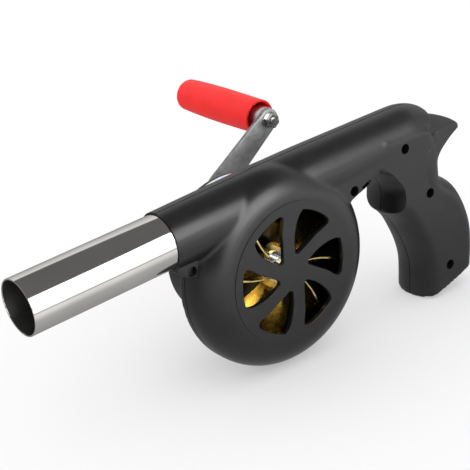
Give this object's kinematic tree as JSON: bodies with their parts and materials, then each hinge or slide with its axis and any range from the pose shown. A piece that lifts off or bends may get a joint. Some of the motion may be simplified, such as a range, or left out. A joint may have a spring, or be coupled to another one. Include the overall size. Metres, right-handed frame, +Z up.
{
  "type": "hand cranked blower",
  "caption": "Pistol shaped hand cranked fire blower with a round fan casing, a steel nozzle tube and a geared crank with a turning grip.",
  "frame": {"origin": "bottom centre of the box round the whole object, standing on the fan casing and the heel of the grip", "axes": "+X from the nozzle towards the grip, +Y towards the gearbox and the crank, +Z up"},
  "size_m": [0.2751, 0.1596, 0.1097],
  "materials": {
    "housing_plastic": "satin",
    "label_film": "satin",
    "polished_steel": "polished",
    "sintered_bronze": "satin",
    "steel": "satin",
    "dark_screw_steel": "satin",
    "yellow_zinc_sheet": "satin",
    "zinc_plated_steel": "satin",
    "gear_plastic": "satin",
    "arm_steel": "satin",
    "red_plastic": "satin"
  },
  "bodies": {
    "housing": {"near_housing": "housing_plastic", "far_housing": "housing_plastic", "gear_cover": "housing_plastic", "cover_label": "label_film", "nozzle_tube": "polished_steel", "front_bearing": "sintered_bronze", "rear_bearing": "sintered_bronze", "crank_bearing": "sintered_bronze", "idler_pin": "steel", "housing_screws": "dark_screw_steel", "cover_screws": "dark_screw_steel"},
    "crank": {"crank_gear": "gear_plastic", "crank_shaft": "steel", "thrust_washer": "gear_plastic", "crank_arm": "arm_steel", "shaft_washer": "zinc_plated_steel", "shaft_nut": "zinc_plated_steel", "handle_bolt": "zinc_plated_steel", "handle_spacer": "steel", "handle_washer": "zinc_plated_steel", "handle_nut": "zinc_plated_steel"},
    "handle": {"handle_sleeve": "red_plastic", "handle_cap": "red_plastic"},
    "idler": {"idler_gear": "gear_plastic"},
    "fan": {"fan_shaft": "steel", "fan_wheel": "yellow_zinc_sheet", "fan_hub": "zinc_plated_steel", "fan_nut": "zinc_plated_steel", "fan_pinion": "gear_plastic"}
  },
  "joints": [
    {"name": "crank_turn", "type": "hinge", "parent": "housing", "child": "crank", "pos_m": [0.00402, -0.0072, 0.0527], "axis": [0, 1, 0], "continuous": true},
    {"name": "idler_spin", "type": "hinge", "parent": "housing", "child": "idler", "pos_m": [0.01421, -0.0521, 0.03738], "axis": [0, 1, 0], "continuous": true},
    {"name": "fan_spin", "type": "hinge", "parent": "housing", "child": "fan", "pos_m": [0.00402, -0.0613, 0.0527], "axis": [0, 1, 0], "continuous": true},
    {"name": "handle_spin", "type": "hinge", "parent": "crank", "child": "handle", "pos_m": [0.06287, 0.0133, 0.09674], "axis": [0, 1, 0], "continuous": true}
  ],
  "couplings": [
    {"joint": "idler_spin", "follows": "crank_turn", "ratio": -3.6},
    {"joint": "fan_spin", "follows": "crank_turn", "ratio": 12.96}
  ]
}
